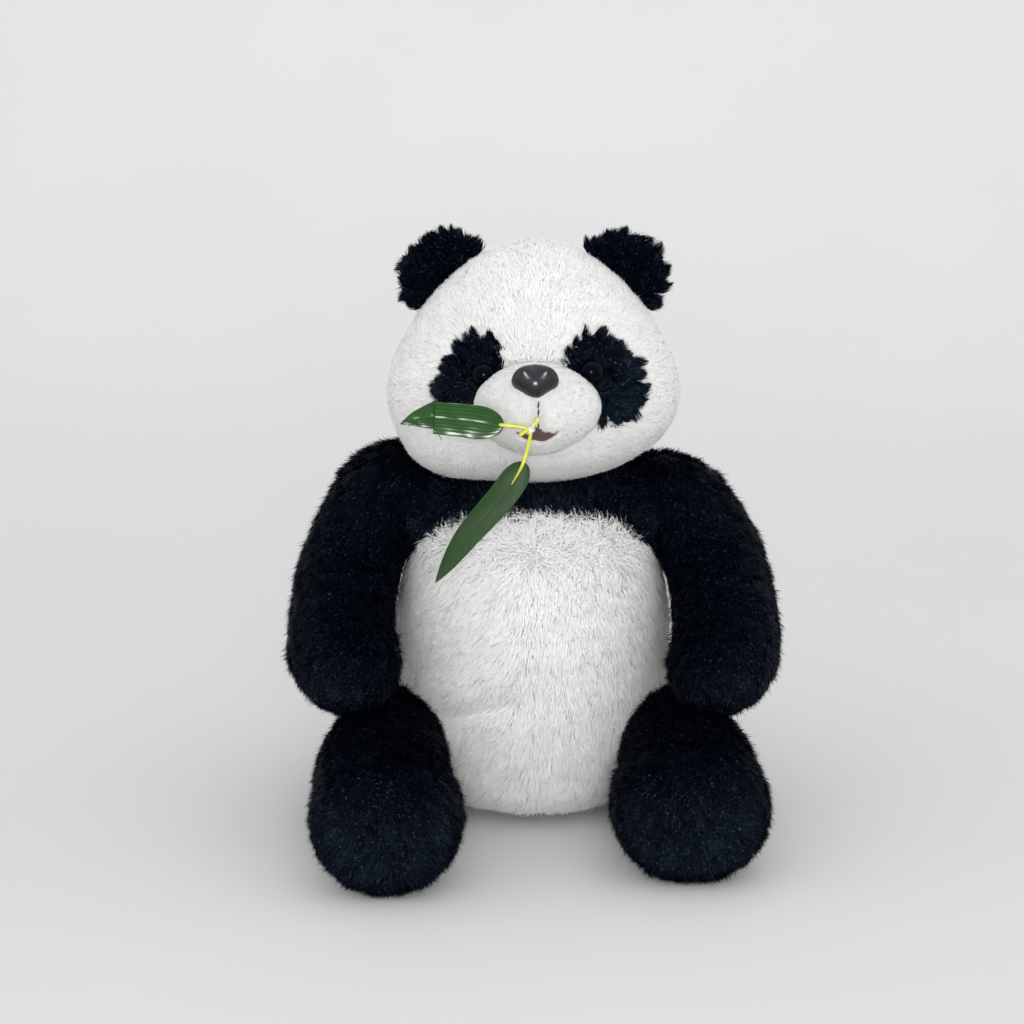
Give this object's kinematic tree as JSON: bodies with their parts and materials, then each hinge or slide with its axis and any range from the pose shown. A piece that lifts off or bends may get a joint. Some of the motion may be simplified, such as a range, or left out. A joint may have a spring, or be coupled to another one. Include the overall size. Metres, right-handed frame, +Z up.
{
  "type": "plush panda",
  "caption": "Seated stuffed panda in long pile with safety eyes and nose, sewn limbs, floppy ears and a bamboo sprig tied to its mouth.",
  "frame": {"origin": "middle of the flat seat, on the surface that the toy sits on", "axes": "+Z up, -Y the way the panda faces, +X the panda's own left side"},
  "size_m": [0.297, 0.2723, 0.346],
  "materials": {
    "white_pile": "long glossy polyester pile, brushed and slightly matted",
    "black_pile": "long blue-black polyester pile with bright glints",
    "muzzle_pile": "short dense pile",
    "fibre_fill": "loose polyester fibre filling",
    "pouch_cloth": "plain woven pouch of plastic pellets",
    "eye_plastic": "polished black moulding",
    "nose_plastic": "satin charcoal moulding with a fine grain",
    "washer_plastic": "plain white moulding",
    "mouth_cloth": "short brown cloth",
    "dark_thread": "twisted thread",
    "pale_thread": "twisted thread",
    "leaf_cloth": "coated cloth leaf with pressed veins",
    "stem_plastic": "moulded yellow-green stem"
  },
  "bodies": {
    "torso": {"back_panel_left": "white_pile", "back_panel_right": "white_pile", "belly_panel": "white_pile", "pellet_pouch": "pouch_cloth", "seat_panel": "white_pile", "tail": "white_pile", "torso_stuffing": "fibre_fill", "yoke_back_left": "black_pile", "yoke_back_right": "black_pile", "yoke_front": "black_pile"},
    "neck": {"neck_core": "fibre_fill"},
    "head": {"eye_left": "eye_plastic", "eye_patch_left": "black_pile", "eye_patch_right": "black_pile", "eye_right": "eye_plastic", "eye_washer_left": "washer_plastic", "eye_washer_right": "washer_plastic", "head_gusset": "white_pile", "head_side_left": "white_pile", "head_side_right": "white_pile", "head_stuffing": "fibre_fill", "mouth_lining": "mouth_cloth", "mouth_thread": "pale_thread", "muzzle_cover": "muzzle_pile", "muzzle_stuffing": "fibre_fill", "nose": "nose_plastic", "nose_washer": "washer_plastic", "philtrum_stitches": "dark_thread"},
    "ear_left": {"ear_front_left": "black_pile", "ear_back_left": "black_pile"},
    "arm_left": {"arm_outer_left": "black_pile", "arm_inner_left": "black_pile", "arm_stuffing_left": "fibre_fill"},
    "leg_left": {"leg_stuffing_left": "fibre_fill", "leg_under_left": "black_pile", "leg_upper_left": "black_pile", "sole_left": "black_pile"},
    "ear_right": {"ear_front_right": "black_pile", "ear_back_right": "black_pile"},
    "arm_right": {"arm_outer_right": "black_pile", "arm_inner_right": "black_pile", "arm_stuffing_right": "fibre_fill"},
    "leg_right": {"leg_stuffing_right": "fibre_fill", "leg_under_right": "black_pile", "leg_upper_right": "black_pile", "sole_right": "black_pile"},
    "upper_leaf": {"leaf_upper": "leaf_cloth", "stem_upper": "stem_plastic"},
    "lower_leaf": {"leaf_lower": "leaf_cloth", "stem_lower": "stem_plastic"}
  },
  "joints": [
    {"name": "head_turn", "type": "hinge", "parent": "torso", "child": "neck", "pos_m": [0, -0.01, 0.269], "axis": [0, 0, 1], "range_deg": [-12, 12], "stiffness_Nm_per_rad": 0.6},
    {"name": "head_nod", "type": "hinge", "parent": "neck", "child": "head", "pos_m": [0, -0.01, 0.269], "axis": [1, 0, 0], "range_deg": [-8, 8], "stiffness_Nm_per_rad": 1.2},
    {"name": "ear_left_flop", "type": "hinge", "parent": "head", "child": "ear_left", "pos_m": [0.052, 0, 0.317], "axis": [-0.7431, 0, 0.6691], "range_deg": [-20, 20], "stiffness_Nm_per_rad": 0.02},
    {"name": "ear_right_flop", "type": "hinge", "parent": "head", "child": "ear_right", "pos_m": [-0.052, 0, 0.317], "axis": [-0.7431, 0, -0.6691], "range_deg": [-20, 20], "stiffness_Nm_per_rad": 0.02},
    {"name": "arm_left_lift", "type": "hinge", "parent": "torso", "child": "arm_left", "pos_m": [0.097, 0.005, 0.18], "axis": [-1, 0, 0], "range_deg": [0, 40], "stiffness_Nm_per_rad": 0.05},
    {"name": "arm_right_lift", "type": "hinge", "parent": "torso", "child": "arm_right", "pos_m": [-0.097, 0.005, 0.18], "axis": [-1, 0, 0], "range_deg": [0, 40], "stiffness_Nm_per_rad": 0.05},
    {"name": "leg_left_splay", "type": "hinge", "parent": "torso", "child": "leg_left", "pos_m": [0.072, -0.02, 0.042], "axis": [0, 0, 1], "range_deg": [-6, 12], "stiffness_Nm_per_rad": 0.3},
    {"name": "leg_right_splay", "type": "hinge", "parent": "torso", "child": "leg_right", "pos_m": [-0.072, -0.02, 0.042], "axis": [0, 0, -1], "range_deg": [-6, 12], "stiffness_Nm_per_rad": 0.3},
    {"name": "upper_leaf_swing", "type": "hinge", "parent": "head", "child": "upper_leaf", "pos_m": [-0.0026, -0.11, 0.2498], "axis": [0, 1, 0], "range_deg": [-10, 10]},
    {"name": "lower_leaf_swing", "type": "hinge", "parent": "head", "child": "lower_leaf", "pos_m": [-0.0026, -0.113, 0.2498], "axis": [0, 1, 0], "range_deg": [-10, 10]}
  ]
}
